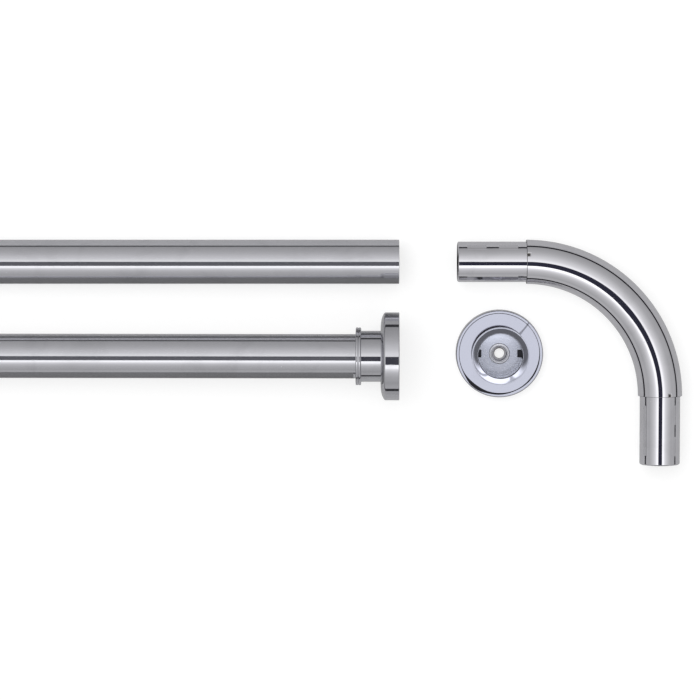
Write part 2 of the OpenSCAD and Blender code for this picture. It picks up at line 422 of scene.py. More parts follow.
print(len(snapped), "columns moved to the edges of ribs")

# %% [markdown]
# One small pip with a domed crown stands at the foot of each spigot. It sits in the
# notch of the bend and stops the connector from turning. It is near black, and the
# inside of a connector is left as dull as the bore of a rod.

# %% The connectors
pip_r = 0.0008
pip_inset = pip_r + hair_gap
connector_mid_wall = spigot_r - connector_wall / 2
end_crease = math.radians(30)


def add_pip(bm):
    """Adds the pip, with the third material."""
    height = tube_r - connector_mid_wall
    pip = bmesh.ops.create_cone(bm, cap_ends=True, segments=32, radius1=pip_r, radius2=pip_r,
                                depth=height)
    crown = [e for e in ring_edges(pip["verts"]) if min(v.co.z for v in e.verts) > 0]
    for face in {f for v in pip["verts"] for f in v.link_faces}:
        face.material_index = 2
    stand = Matrix.Translation((-bend_radius + pip_inset, 0, 0))
    stand = stand @ Matrix.Rotation(-pip_angle, 4, "X")
    lift = Matrix.Translation((0, 0, connector_mid_wall + height / 2))
    bmesh.ops.transform(bm, verts=pip["verts"], matrix=stand @ lift)
    bmesh.ops.bevel(bm, geom=crown, offset=0.9 * pip_r, segments=6, profile=0.5,
                    affect="EDGES", material=-1)


def connector():
    """A ribbed spigot with its tail and its pip."""
    bm = bmesh.new()
    draw_out(bm, outer_wall)
    draw_out(bm, inner_wall)
    close_ends(bm, free_end + tiny)
    press_ribs(bm)
    bmesh.ops.recalc_face_normals(bm, faces=bm.faces[:])
    chamfer_end = free_end + spigot_chamfer + tiny
    ends = [e for e in bm.edges if max(v.co.x for v in e.verts) < chamfer_end]
    ends = [e for e in ends if e.calc_face_angle() > end_crease]
    bmesh.ops.bevel(bm, geom=ends, offset=end_ease, segments=3, profile=0.5,
                    affect="EDGES", material=-1)
    for face in bm.faces:
        middle = face.calc_center_median()
        straight = middle.x < -bend_radius
        radius = math.hypot(middle.y, middle.z) if straight else from_middle_line(middle)
        face.material_index = int(radius < connector_mid_wall)
    add_pip(bm)
    return bm


upper_connector = make_piece(connector(), "upper_connector", at_elbow)
lower_connector = make_piece(connector(), "lower_connector", at_second_leg)

# %% [markdown]
# A flange cover slides on the rod and hides the socket and its screw. It is spun
# from one sheet, so the sizes run from the rod outwards: the socket's collar fits
# round the tube, the cover's neck round the collar, and the bead stands on the neck.

# %% Sizes of the flange covers
rod_play = 0.0001
collar_wall = 0.00085
neck_play = 0.00015
mouth_play = 0.00025
cover_wall = 0.00075
bead_height = 0.0019
bead_width = 0.0031
lip_dish = 0.0006
grip_height = 0.0016

collar_bore_r = tube_r + rod_play
collar_r = collar_bore_r + collar_wall
neck_bore_r = collar_r + neck_play
neck_r = neck_bore_r + cover_wall
bead_r = neck_r + bead_height
mouth_r = tube_r + mouth_play
skirt_r = cover_r - cover_wall
lip_edge = flange_height - lip_dish
grip_groove_r = neck_bore_r + cover_wall / 2
grip_top = lip_edge - cover_wall
grip_bottom = grip_top - grip_height
print(f"neck {2 * neck_r:.4f} and bead {2 * bead_r:.4f} across")

# %% [markdown]
# The cover has a skirt, a domed face, a neck and a rolled bead round the mouth. The
# dome is a power curve, nearly flat at the neck and falling away at the rim, where a
# small radius leads into the skirt. A fine seam runs round the middle of the bead.

# %% The flange covers
face_rise = 0.00225
dome_power = 3.5
dome_steps = 13
bead_seam = 0.00028
fine_ease = 0.0001
sheet_ease = 0.0002
root_ease = 0.00015
full_round = 0.0006


def dome(outer_r, inner_r, height, rounding):
    """Corners of the domed face from the rim inwards."""
    corners = []
    for i in range(dome_steps + 1):
        share = 1 - i / dome_steps
        rise = face_rise * (1 - share ** dome_power)
        radius = inner_r + (outer_r - inner_r) * share
        corners.append((radius, height + rise, 0 if i else rounding))
    return corners


bead_start = flange_height - bead_width
bead_middle = flange_height - bead_width / 2
cover_outline = [(skirt_r, 0, fine_ease), (cover_r, 0, sheet_ease)]
cover_outline += dome(cover_r, neck_r, rim_height, full_round)
cover_outline += [
    (neck_r, bead_start, root_ease), (bead_r, bead_start, full_round),
    (bead_r, bead_middle - bead_seam, 0), (bead_r - bead_seam, bead_middle, 0),
    (bead_r, bead_middle + bead_seam, 0), (bead_r, flange_height, full_round),
    (mouth_r, lip_edge, sheet_ease), (mouth_r, grip_top, 0),
    (grip_groove_r, grip_top, 0), (grip_groove_r, grip_bottom, 0),
    (neck_bore_r, grip_bottom, 0),
]
cover_outline += reversed(dome(skirt_r, neck_bore_r, rim_height - cover_wall, 0))
loose_cover = make_piece(lathe(cover_outline), "loose_flange_cover", at_loose_flange)
fixed_cover = make_piece(lathe(cover_outline), "fixed_flange_cover", at_fixed_flange)

# %% [markdown]
# The wall socket is cast: a round base with a thin collar for the rod's end. It has
# a seat for the bush of the screw, a groove in its edge for the ring that holds the
# cover, and a shallow recess at the back for the gasket.

# %% The blank of a wall socket
base_play = 0.0006
base_r = skirt_r - base_play
collar_height = 0.016
bush_body_r = 0.0043
bush_head_r = 0.00585
bush_head_height = 0.002
bush_sink = 0.0002
bush_shelf = base_height - bush_sink - bush_head_height
bush_play = 0.00004
gasket_r = 0.02
gasket_thickness = 0.0006
o_ring_r = 0.001
ring_centre_r = skirt_r - hair_gap - o_ring_r

groove_r = ring_centre_r - o_ring_r - hair_gap
groove_half = o_ring_r + hair_gap
groove_middle = base_height / 2
groove_low = groove_middle - groove_half
groove_high = groove_middle + groove_half
cast_ease = 0.00025
seat_r = bush_head_r + bush_play
shank_r = bush_body_r + bush_play
socket_outline = [
    (gasket_r, 0, 0), (base_r, 0, cast_ease),
    (base_r, groove_low, 0), (groove_r, groove_low, 0),
    (groove_r, groove_high, 0), (base_r, groove_high, 0),
    (base_r, base_height, cast_ease), (collar_r, base_height, 0.0004),
    (collar_r, collar_height, cast_ease), (collar_bore_r, collar_height, cast_ease),
    (collar_bore_r, base_height, 0.0003), (seat_r, base_height, fine_ease),
    (seat_r, bush_shelf, 0), (shank_r, bush_shelf, 0),
    (shank_r, gasket_thickness, 0), (gasket_r, gasket_thickness, 0),
]
print(f"socket base {2 * base_r:.4f} across, collar {collar_height:.3f} high")

# %% [markdown]
# Two slots run through the collar and into the floor, one on each side. They are cut
# by a boolean with two blocks, which is how a milling cutter works too. The cut
# faces in the floor get a near-black material, painted shade that makes the shallow
# slots look as dark as deep holes.

# %% Milling the slots
slot_width = 0.0044
slot_reach = 0.0024
slot_sink = 0.0015
mill_over = 0.0001
slot_outer = collar_r + mill_over
slot_inner = collar_bore_r - slot_reach
slot_low = base_height - slot_sink
slot_high = collar_height + 0.001
slot_shade_from = bush_head_r + 0.001
slot_shade_to = collar_r + 0.00035


def slot_cutter(name, place):
    """Two blocks where the slots will be."""
    bm = bmesh.new()
    for sign in (-1, 1):
        block = bmesh.ops.create_cube(bm, size=1)
        size = (slot_outer - slot_inner, slot_width, slot_high - slot_low)
        bmesh.ops.scale(bm, verts=block["verts"], vec=size)
        middle = (sign * (slot_outer + slot_inner) / 2, 0, (slot_high + slot_low) / 2)
        bmesh.ops.translate(bm, verts=block["verts"], vec=middle)
    return make_piece(bm, name, place)


def wall_socket(name, place):
    """Turns a socket, mills its two slots and marks their sunk faces for painted shade."""
    blank = make_piece(lathe(socket_outline), name + "_blank", place)
    cutter = slot_cutter(name + "_cutter", place)
    blank.modifiers.clear()
    cut = blank.modifiers.new("slots", "BOOLEAN")
    cut.object = cutter
    cut.solver = "EXACT"
    milled = bmesh.new()
    milled.from_object(blank, bpy.context.evaluated_depsgraph_get())
    bpy.data.objects.remove(blank)
    bpy.data.objects.remove(cutter)
    to_flange = place.inverted()
    # the sunk faces of the slots get the near-black second material: painted shade
    for face in milled.faces:
        spot = to_flange @ face.calc_center_median()
        sunk = slot_low - mill_over < spot.z < base_height - mill_over
        face.material_index = int(sunk and slot_shade_from < math.hypot(spot.x, spot.y) < slot_shade_to)
    print(name, "slot faces", sum(f.material_index for f in milled.faces))
    return make_piece(milled, name, Matrix.Identity(4))


loose_socket = wall_socket("loose_wall_socket", at_loose_flange)
fixed_socket = wall_socket("fixed_wall_socket", at_fixed_flange)

# %% [markdown]
# The bush, the rings and the gasket are small turned or moulded pieces. The bush is
# countersunk for the head of the screw. The round ring is a square outline whose
# corners are rounded nearly to its middle.

# %% Bushes, rings and gaskets
screw_hole_r = 0.00285
countersink = 0.0015
bush_top = bush_shelf + bush_head_height
bush_outline = [
    (screw_hole_r, gasket_thickness, fine_ease), (bush_body_r, gasket_thickness, fine_ease),
    (bush_body_r, bush_shelf, 0), (bush_head_r, bush_shelf, fine_ease),
    (bush_head_r, bush_top, 0.0004), (screw_hole_r + countersink, bush_top, root_ease),
    (screw_hole_r, bush_top - countersink, fine_ease),
]
grip_ease = 0.0004
grip_low = grip_bottom + hair_gap
grip_high = grip_top - hair_gap
grip_outer = grip_groove_r - hair_gap
grip_inner = tube_r + hair_gap
grip_outline = [
    (grip_outer, grip_low, fine_ease), (grip_outer, grip_high, fine_ease),
    (grip_inner, grip_high, grip_ease), (grip_inner, grip_low, grip_ease),
]
o_ring_outline = [
    (ring_centre_r + x * o_ring_r, groove_middle + z * o_ring_r, 0.99 * o_ring_r)
    for x, z in ((-1, -1), (1, -1), (1, 1), (-1, 1))
]
gasket_edge = gasket_r - hair_gap
gasket_outline = [
    (bush_body_r, 0, fine_ease), (gasket_edge, 0, fine_ease),
    (gasket_edge, gasket_thickness, fine_ease), (bush_body_r, gasket_thickness, fine_ease),
]
small_parts = {}
for which, place in (("loose", at_loose_flange), ("fixed", at_fixed_flange)):
    for kind, outline in (("bush", bush_outline), ("grip_ring", grip_outline),
                          ("o_ring", o_ring_outline), ("gasket", gasket_outline)):
        name = f"{which}_{kind}"
        small_parts[name] = make_piece(lathe(outline), name, place)

# %% [markdown]
# Finishes and studio are node trees, so a few short helpers come first. One adds a
# node with its settings and inputs, where an input may be a number or another node's
# output. The others add what comes back again and again, and hand on its result.

# %% Helpers for node trees


def add(tree, kind, inputs=None, **settings):
    """Adds a node with its settings, and fills or links its inputs."""
    made = tree.nodes.new(kind)
    for name, value in settings.items():
        setattr(made, name, value)
    for name, value in (inputs or {}).items():
        socket = made.inputs[name]
        if isinstance(value, bpy.types.NodeSocket):
            tree.links.new(value, socket)
        else:
            socket.default_value = value
    return made


def work_out(tree, operation, *values):
    """Adds one Math node and gives its result."""
    return add(tree, "ShaderNodeMath", dict(enumerate(values)), operation=operation).outputs[0]


def the_rest(tree, value):
    """What is left of 1."""
    return work_out(tree, "SUBTRACT", 1.0, value)


def fade(tree, value, low, high):
    """Goes smoothly from 0 at low to 1 at high."""
    inputs = {"Value": value, "From Min": low, "From Max": high}
    return add(tree, "ShaderNodeMapRange", inputs, interpolation_type="SMOOTHSTEP").outputs[0]


def noise(tree, where, scale, detail, roughness=0.5, distortion=0.0):
    """Adds a noise pattern and gives its value."""
    inputs = {"Vector": where, "Scale": scale, "Detail": detail,
              "Roughness": roughness, "Distortion": distortion}
    return add(tree, "ShaderNodeTexNoise", inputs).outputs["Fac"]


def mix_colours(tree, factor, first, second):
    """Mixes two colours, each either three numbers or a node's output."""
    first, second = ((*c, 1) if isinstance(c, tuple) else c for c in (first, second))
    inputs = {"Factor": factor, 6: first, 7: second}
    return add(tree, "ShaderNodeMix", inputs, data_type="RGBA").outputs[2]


def mix_shaders(tree, factor, first, second):
    """Mixes two shaders."""
    return add(tree, "ShaderNodeMixShader", {0: factor, 1: first, 2: second}).outputs[0]


def new_group(name, inputs, outputs):
    """Starts a node group with named float or vector sockets."""
    tree = bpy.data.node_groups.new(name, "ShaderNodeTree")
    for label, kind in inputs.items():
        tree.interface.new_socket(name=label, in_out="INPUT", socket_type="NodeSocket" + kind)
    for label in outputs:
        tree.interface.new_socket(name=label, in_out="OUTPUT", socket_type="NodeSocketFloat")
    return tree, add(tree, "NodeGroupInput").outputs, add(tree, "NodeGroupOutput").inputs


# %% [markdown]
# Polished tube keeps the faint lines of the drawing die or the buffing wheel under
# its chrome. They are one noise stretched a long way in the direction of the lines:
# a fine copy for the relief, and a broad one for streaks a little less bright. Each
# material hands in its own coordinates, with X running along the lines.

# %% Node group: lines along the metal
line_stretch = (0.006, 1, 1)
drawn_lines, given, result = new_group("lines along the metal",
                                       {"Vector": "Vector", "Fineness": "Float"},
                                       ["Height", "Streak"])
stretched = add(drawn_lines, "ShaderNodeMapping", {"Vector": given["Vector"],
                                                   "Scale": line_stretch}).outputs[0]
fine = noise(drawn_lines, stretched, given["Fineness"], 3.0, 0.7)
coarser = work_out(drawn_lines, "MULTIPLY", given["Fineness"], 0.16)
broad = noise(drawn_lines, stretched, coarser, 2.0)
drawn_lines.links.new(fine, result["Height"])
drawn_lines.links.new(fade(drawn_lines, broad, 0.35, 0.65), result["Streak"])
print(drawn_lines.name, len(drawn_lines.nodes), "nodes")

# %% [markdown]
# Every kit that has been unpacked carries the same small signs: smudges from
# fingers, a few hairlines, specks of dust, and the slight waviness that plating
# leaves, like the skin of an orange. One group makes all four masks, and each
# material decides how strongly it shows them.

# %% Node group: handling marks
handling, given, result = new_group("handling marks", {"Vector": "Vector"},
                                    ["Smudge", "Hairline", "Dust", "Waviness"])
where = given["Vector"]
cloud = noise(handling, where, 45.0, 4.0, 0.55, 0.8)
handling.links.new(fade(handling, cloud, 0.48, 0.72), result["Smudge"])
handling.links.new(noise(handling, where, 150.0, 1.0), result["Waviness"])

slanted = add(handling, "ShaderNodeMapping", {"Vector": where, "Rotation": (0.4, 0.9, 0.6),
                                              "Scale": (1, 9, 9)}).outputs[0]
thread = work_out(handling, "SUBTRACT", noise(handling, slanted, 70.0, 2.0), 0.5)
on_thread = the_rest(handling, fade(handling, work_out(handling, "ABSOLUTE", thread), 0.0, 0.006))
in_patch = fade(handling, cloud, 0.40, 0.46)
handling.links.new(work_out(handling, "MULTIPLY", on_thread, in_patch), result["Hairline"])

specks = add(handling, "ShaderNodeTexVoronoi", {"Vector": where, "Scale": 240.0}).outputs
speck = the_rest(handling, fade(handling, specks["Distance"], 0.03, 0.06))
chance = add(handling, "ShaderNodeSeparateColor", {"Color": specks["Color"]}).outputs[0]
few = work_out(handling, "GREATER_THAN", chance, 0.7)
handling.links.new(work_out(handling, "MULTIPLY", speck, few), result["Dust"])
print(handling.name, len(handling.nodes), "nodes")

# %% [markdown]
# Two kinds of coordinates carry the lines. A straight tube takes its own frame, X
# along its axis. The bend and the covers are round about an axis, so for them the
# second coordinate is the distance from that axis and the lines close into circles.
# A Mapping node of the texture kind brings any of these frames back to the origin.

# %% Coordinates that follow the metal


def own_place(tree, place):
    """Object coordinates seen from the frame of a piece."""
    where = add(tree, "ShaderNodeTexCoord").outputs["Object"]
    inputs = {"Vector": where, "Location": place.to_translation(), "Rotation": place.to_euler()}
    return add(tree, "ShaderNodeMapping", inputs, vector_type="TEXTURE").outputs[0]


def round_axis(tree, place):
    """The same, with the distance from the frame's Z axis as the second coordinate."""
    near = add(tree, "ShaderNodeSeparateXYZ", {"Vector": own_place(tree, place)}).outputs
    squares = work_out(tree, "MULTIPLY", near["Y"], near["Y"])
    squares = work_out(tree, "MULTIPLY_ADD", near["X"], near["X"], squares)
    height = work_out(tree, "MULTIPLY_ADD", near["Y"], 0.01, near["Z"])
    inputs = {"X": near["X"], "Y": work_out(tree, "SQRT", squares), "Z": height}
    return add(tree, "ShaderNodeCombineXYZ", inputs).outputs[0]


# %% [markdown]
# Chrome is a metal that is a little dark and a little blue, and nearly a mirror.
# What makes it read as chrome and not as a ball of glass is how the mirror fails:
# lines, waviness, smudges and dust change the roughness and tilt the surface by
# fractions of a degree. The rods also have a thin haze, which lifts their darkest
# reflections to the slate grey of the photograph. The relief is given in hundredths
# of a millimetre.

# %% How a plated metal is built
relief = 0.00001


def new_material(name):
    """A material with its node tree and its shader."""
    material = bpy.data.materials.new(name)
    material.use_nodes = True
    tree = material.node_tree
    return material, tree, tree.nodes["Principled BSDF"].inputs


def metal(name, colour, roughness, way, place, fineness, line_relief, wave_relief, haze=0.0):
    """A plated metal with its lines laid by way along the frame called place."""
    material, tree, shader = new_material(name)
    where = add(tree, "ShaderNodeTexCoord").outputs["Object"]
    sign = add(tree, "ShaderNodeGroup", {"Vector": where}, node_tree=handling).outputs
    inputs = {"Vector": way(tree, place), "Fineness": fineness}
    line = add(tree, "ShaderNodeGroup", inputs, node_tree=drawn_lines).outputs

    rough = work_out(tree, "MULTIPLY_ADD", line["Streak"], 0.3 * roughness, 0.85 * roughness)
    for mark, strength in (("Smudge", 0.035), ("Hairline", 0.10), ("Dust", 0.30)):
        rough = work_out(tree, "MULTIPLY_ADD", sign[mark], strength, rough)
    tree.links.new(rough, shader["Roughness"])

    clean = work_out(tree, "MULTIPLY_ADD", line["Streak"], -0.3 * haze, 1 - 0.85 * haze)
    clean = work_out(tree, "MULTIPLY_ADD", sign["Dust"], -0.4, clean)
    tree.links.new(clean, shader["Metallic"])

    dulled = tuple(0.93 * part for part in colour)
    tree.links.new(mix_colours(tree, sign["Smudge"], colour, dulled), shader["Base Color"])

    height = work_out(tree, "MULTIPLY", line["Height"], line_relief)
    height = work_out(tree, "MULTIPLY_ADD", sign["Waviness"], wave_relief, height)
    height = work_out(tree, "ADD", sign["Dust"], height)
    bump = add(tree, "ShaderNodeBump", {"Distance": relief, "Height": height})
    tree.links.new(bump.outputs["Normal"], shader["Normal"])
    return material


# %% [markdown]
# Each row below is one metal. Rods, spigots and bores have straight lines, and all
# that is bent, spun or turned has round ones. The bend and the spigots are plated
# brighter than the rods. The castings of the sockets are duller, the bushes are
# turned steel, and the pips are nearly black. The near-black painted_shade_black is
# painted shade, laid on the slots of the sockets and the rims of the bend's cut ends.

rod_chrome = (0.575, 0.575, 0.61)
bright_chrome = (0.72, 0.715, 0.755)
zinc = (0.58, 0.59, 0.63)
steel = (0.60, 0.59, 0.58)
black = (0.06, 0.055, 0.055)
at_bend = at_elbow @ Matrix.Translation(bend_centre)

finishes = {}
for name, *settings in (
    # colour, roughness, way and place of the lines, fineness, line and wave relief, haze
    ("upper_tube_chrome", rod_chrome, 0.05, own_place, at_elbow, 1500, 0.10, 0.30, 0.13),
    ("lower_tube_chrome", rod_chrome, 0.05, own_place, at_lower_rod, 1500, 0.10, 0.30, 0.13),
    ("bend_chrome", bright_chrome, 0.03, round_axis, at_bend, 1200, 0.06, 0.35),
    ("upper_spigot_chrome", bright_chrome, 0.03, own_place, at_elbow, 1200, 0.12, 0.9),
    ("lower_spigot_chrome", bright_chrome, 0.03, own_place, at_second_tube, 1200, 0.12, 0.9),
    ("loose_cover_chrome", rod_chrome, 0.02, round_axis, at_loose_flange, 1400, 0.12, 0.4, 0.01),
    ("fixed_cover_chrome", rod_chrome, 0.04, round_axis, at_fixed_flange, 1400, 0.16, 0.4, 0.05),
    ("near_black_pin", black, 0.3, own_place, at_elbow, 2500, 0.1, 0.1),
    ("bare_bore", (0.30, 0.29, 0.28), 0.42, own_place, at_lower_rod, 1800, 0.7, 0.6, 0.1),
    # near black: painted shade for the socket slots and the bend's cut rims
    ("painted_shade_black", (0.05, 0.05, 0.055), 0.5, own_place, at_elbow, 2500, 0.5, 0.5, 0.3),
    ("loose_plated_casting", zinc, 0.22, round_axis, at_loose_flange, 1600, 0.12, 0.8, 0.1),
    ("fixed_plated_casting", zinc, 0.22, round_axis, at_fixed_flange, 1600, 0.12, 0.8, 0.1),
    ("loose_turned_steel", steel, 0.15, round_axis, at_loose_flange, 2600, 0.8, 0.2),
    ("fixed_turned_steel", steel, 0.15, round_axis, at_fixed_flange, 2600, 0.8, 0.2),
):
    finishes[name] = metal(name, *settings)
print(len(finishes), "metals")

# %% [markdown]
# The soft parts are black moulded rubber and grey closed-cell foam. Rubber has a
# faint grain and a bloom of pale dust, and foam is a mass of small cells, which a
# Voronoi pattern gives at the right scale.

# %% Rubber and foam


def soft_material(name, colour, roughness, cell_size, depth, specular):
    """A matt material with small cells in its surface."""
    material, tree, shader = new_material(name)
    shader["Specular IOR Level"].default_value = specular
    where = add(tree, "ShaderNodeTexCoord").outputs["Object"]
    cells = add(tree, "ShaderNodeTexVoronoi", {"Vector": where, "Scale": 1 / cell_size})
    bloom = fade(tree, noise(tree, where, 220.0, 4.0), 0.45, 0.75)
    pale = tuple(part + 0.05 for part in colour)
    tree.links.new(mix_colours(tree, bloom, colour, pale), shader["Base Color"])
    rough = work_out(tree, "MULTIPLY_ADD", bloom, 0.12, roughness)
    tree.links.new(rough, shader["Roughness"])
    bump = add(tree, "ShaderNodeBump", {"Distance": depth, "Height": cells.outputs["Distance"]})
    tree.links.new(bump.outputs["Normal"], shader["Normal"])
    return material


for name, *settings in (
    # colour, roughness, size and depth of a cell, specular
    ("black_moulded_rubber", (0.018, 0.018, 0.019), 0.5, 0.0003, 0.00003, 0.4),
    ("grey_cell_foam", (0.22, 0.22, 0.225), 0.85, 0.0005, 0.00025, 0.2),
):
    finishes[name] = soft_material(name, *settings)
print(len(finishes), "finishes")

# %% [markdown]
# Now each piece gets the body it moves with and its finishes, and the solid it stands
# for is hidden. Each row also names the slot it is filed under, which is not used
# here. The second finish of a tube is for its bore and that of a socket for its
# slots. The third is for the bend's cut edge, or for a pip.

# %% Body, solid, slot and finishes of each piece
dressing = [
    (upper_rod, "upper_rod", "rod_a", "polished_tube", ["upper_tube_chrome", "bare_bore"]),
    (lower_rod, "lower_rod", "rod_b", "polished_tube", ["lower_tube_chrome", "bare_bore"]),
    (elbow, "elbow", "elbow_bend", "polished_bend", ["bend_chrome", "bare_bore", "painted_shade_black"]),
    (upper_connector, "elbow", "connector_a", "connector_chrome",
     ["upper_spigot_chrome", "bare_bore", "near_black_pin"]),
    (lower_connector, "elbow", "connector_b", "connector_chrome",
     ["lower_spigot_chrome", "bare_bore", "near_black_pin"]),
    (loose_cover, "loose_cover", "flange_cover_a", "cover_chrome", ["loose_cover_chrome"]),
    (fixed_cover, "fixed_cover", "flange_cover_b", "cover_chrome", ["fixed_cover_chrome"]),
    (loose_socket, "loose_socket", "wall_socket_a", "socket_zinc",
     ["loose_plated_casting", "painted_shade_black"]),
    (fixed_socket, "fixed_socket", "wall_socket_b", "socket_zinc",
     ["fixed_plated_casting", "painted_shade_black"]),
]
for which, letter in (("loose", "a"), ("fixed", "b")):
    for kind, carrier, solid, slot, finish in (
        ("bush", "socket", "screw_bush", "bush_steel", which + "_turned_steel"),
        ("grip_ring", "cover", "rod_grip_ring", "black_rubber", "black_moulded_rubber"),
        ("o_ring", "socket", "cover_o_ring", "black_rubber", "black_moulded_rubber"),
        ("gasket", "socket", "wall_gasket", "grey_gasket", "grey_cell_foam"),
    ):
        dressing.append((small_parts[f"{which}_{kind}"], f"{which}_{carrier}",
                         f"{solid}_{letter}", slot, [finish]))
for piece, body, node, slot, names in dressing:
    for name in names:
        piece.data.materials.append(finishes[name])
    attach(piece, body)
    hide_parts(node)
print(len(dressing), "pieces dressed")

# %% [markdown]
# The photograph is cut out on white, but its chrome shows the room it stood in: a
# bright tent with the dark mouth of the camera overhead, a grey table, and a black
# gap where the table meets the tent. The floor and a few cards play that room. They
# belong to the studio, and these helpers make them.

# %% Helpers for the studio


def stage_object(name, bm, material):
    mesh = bpy.data.meshes.new(name)
    bm.to_mesh(mesh)
    bm.free()
    made = bpy.data.objects.new(name, mesh)
    bpy.context.scene.collection.objects.link(made)
    mesh.materials.append(material)
    return made


def stage_material(name):
    """An empty material and its tree."""
    material = bpy.data.materials.new(name)
    material.use_nodes = True
    material.node_tree.nodes.clear()
    return material, material.node_tree


def matt(tree, grey):
    """A matt grey."""
    return add(tree, "ShaderNodeBsdfDiffuse", {"Color": (grey, grey, grey, 1)}).outputs[0]


def glow(tree, strength, colour=(1, 1, 1)):
    """A light of its own."""
    return add(tree, "ShaderNodeEmission", {"Color": (*colour, 1), "Strength": strength}).outputs[0]


def see_through(tree):
    """Nothing at all."""
    return add(tree, "ShaderNodeBsdfTransparent").outputs[0]


# %% [markdown]
# The floor plays the table. The camera sees it white, with the shadows kept faint.
# Metal sees it at a duller grey, because white would bleach the lower edges that the
# photograph shows in the middle tones. A little way out it lets mirrored rays
# through, so that the gap, which the world paints by direction, is as thin on the
# tall flange as on the low tubes.

# %% The floor
floor_half = 30
floor_drop = 0.0001
mirror_grey = 0.47
mirror_glow = 0.07
floor_material, tree = stage_material("pale_table")
path = add(tree, "ShaderNodeLightPath").outputs
mirrored = work_out(tree, "MAXIMUM", path["Is Glossy Ray"], path["Is Transmission Ray"])
white_seen = add(tree, "ShaderNodeAddShader", {0: matt(tree, 0.32), 1: glow(tree, 0.70)}).outputs[0]
grey_mirrored = add(tree, "ShaderNodeAddShader", {0: matt(tree, mirror_grey - mirror_glow),
                                                  1: glow(tree, mirror_glow)}).outputs[0]
far_off = fade(tree, path["Ray Length"], 0.085, 0.10)
grey_mirrored = mix_shaders(tree, far_off, grey_mirrored, see_through(tree))
table = mix_shaders(tree, path["Is Camera Ray"], matt(tree, 0.6), white_seen)
table = mix_shaders(tree, mirrored, table, grey_mirrored)
add(tree, "ShaderNodeOutputMaterial", {"Surface": table})

floor_bm = bmesh.new()
bmesh.ops.create_grid(floor_bm, x_segments=1, y_segments=1, size=floor_half)
bmesh.ops.translate(floor_bm, verts=floor_bm.verts[:], vec=(0, 0, -floor_drop))
stage_object("floor", floor_bm, floor_material)
print("floor", 2 * floor_half, "m wide")

# %% [markdown]
# The tent is the world. Its light depends on the angle from the camera's mouth, a
# little to the near side of straight up: white beside it on the near side, then
# falling through the greys on both sides. The levels were read off the tubes and
# rounded, since a polished tube is a map of the room across it.

# %% The walls of the tent
world = bpy.data.worlds.new("tent")
bpy.context.scene.world = world
world.use_nodes = True
tree = world.node_tree
tree.nodes.clear()
mouth_lean = -camera_lean - math.radians(3.0)
mouth_side = math.radians(1.1)
direction = add(tree, "ShaderNodeTexCoord").outputs["Generated"]
turned = add(tree, "ShaderNodeMapping", {"Vector": direction,
                                         "Rotation": (mouth_lean, mouth_side, 0)}).outputs[0]
part = add(tree, "ShaderNodeSeparateXYZ", {"Vector": turned}).outputs
angle = work_out(tree, "ARCCOSINE", part["Z"])
share = work_out(tree, "DIVIDE", angle, math.pi)


def ramp(tree, value, stops):
    """A ramp of (degrees, grey) stops over half a turn."""
    made = add(tree, "ShaderNodeValToRGB", {"Fac": value})
    elements = made.color_ramp.elements
    elements.remove(elements[-1])
    for i, (degrees, grey) in enumerate(stops):
        if i:
            elements.new(degrees / 180)
        elements[i].position = degrees / 180
        elements[i].color = (grey, grey, grey, 1)
    return made.outputs["Color"]


far_side = ramp(tree, share, [
    (0, 1.20), (18.5, 1.12), (29.5, 0.88), (40.5, 0.76), (51.5, 0.63), (63.5, 0.53),
    (72.5, 0.48), (86, 0.42), (92, 0.40),
])
near_side = ramp(tree, share, [
    (0, 1.7), (19.5, 1.7), (22.5, 1.26), (27.5, 0.98), (33.5, 0.76), (44.5, 0.60),
    (56.5, 0.52), (62.5, 0.475), (75.5, 0.56), (92, 0.5),
])
slope = work_out(tree, "MAXIMUM", work_out(tree, "SINE", angle), 0.01)
toward_far = work_out(tree, "MULTIPLY_ADD", work_out(tree, "DIVIDE", part["Y"], slope), 0.5, 0.5)
tent = mix_colours(tree, toward_far, near_side, far_side)
print("tent with its mouth", round(math.degrees(-mouth_lean), 1), "degrees from straight up")

# %% [markdown]
# The mouth is a dark square. A square shows as a thin band on the straight tubes and
# a wide one half way round the bend. Under the horizon comes the black gap, and
# below it the grey of the table. The camera itself sees plain white behind the
# table, from any side.

# %% The mouth, the gap and what the camera sees
mouth_half = math.sin(math.radians(10.4))
mouth_colour = (0.032, 0.033, 0.052)
gap_colour = (0.02, 0.02, 0.024)
table_colour = (mirror_grey, mirror_grey, mirror_grey)
off_middle = work_out(tree, "MAXIMUM", work_out(tree, "ABSOLUTE", part["X"]),
                      work_out(tree, "ABSOLUTE", part["Y"]))
in_square = the_rest(tree, fade(tree, off_middle, mouth_half - 0.006, mouth_half + 0.012))
overhead = work_out(tree, "GREATER_THAN", part["Z"], 0.0)
in_mouth = work_out(tree, "MULTIPLY", in_square, overhead)
tent = mix_colours(tree, in_mouth, tent, mouth_colour)

true_part = add(tree, "ShaderNodeSeparateXYZ", {"Vector": direction}).outputs
horizon = work_out(tree, "MULTIPLY_ADD", true_part["Y"], -0.024, true_part["Z"])
under = the_rest(tree, fade(tree, horizon, 0.018, 0.026))
below_gap = the_rest(tree, fade(tree, horizon, -0.152, -0.144))
low_half = mix_colours(tree, below_gap, gap_colour, table_colour)
room = add(tree, "ShaderNodeBackground", {"Color": mix_colours(tree, under, tent, low_half)})
plain = add(tree, "ShaderNodeBackground", {"Color": (1, 1, 1, 1)})
straight = add(tree, "ShaderNodeLightPath").outputs["Is Camera Ray"]
seen = mix_shaders(tree, straight, room.outputs[0], plain.outputs[0])
add(tree, "ShaderNodeOutputWorld", {"Surface": seen})
print("world", len(tree.nodes), "nodes")

# %% [markdown]
# Chrome is shaped by what stands round it, so a studio sets cards by it. Two dark
# flags stand along the near side of the rods and give their lower edges the dark
# grey of the photograph. The lower one stops short of its flange. Only mirrored rays
# see them, and only from the rods' side.

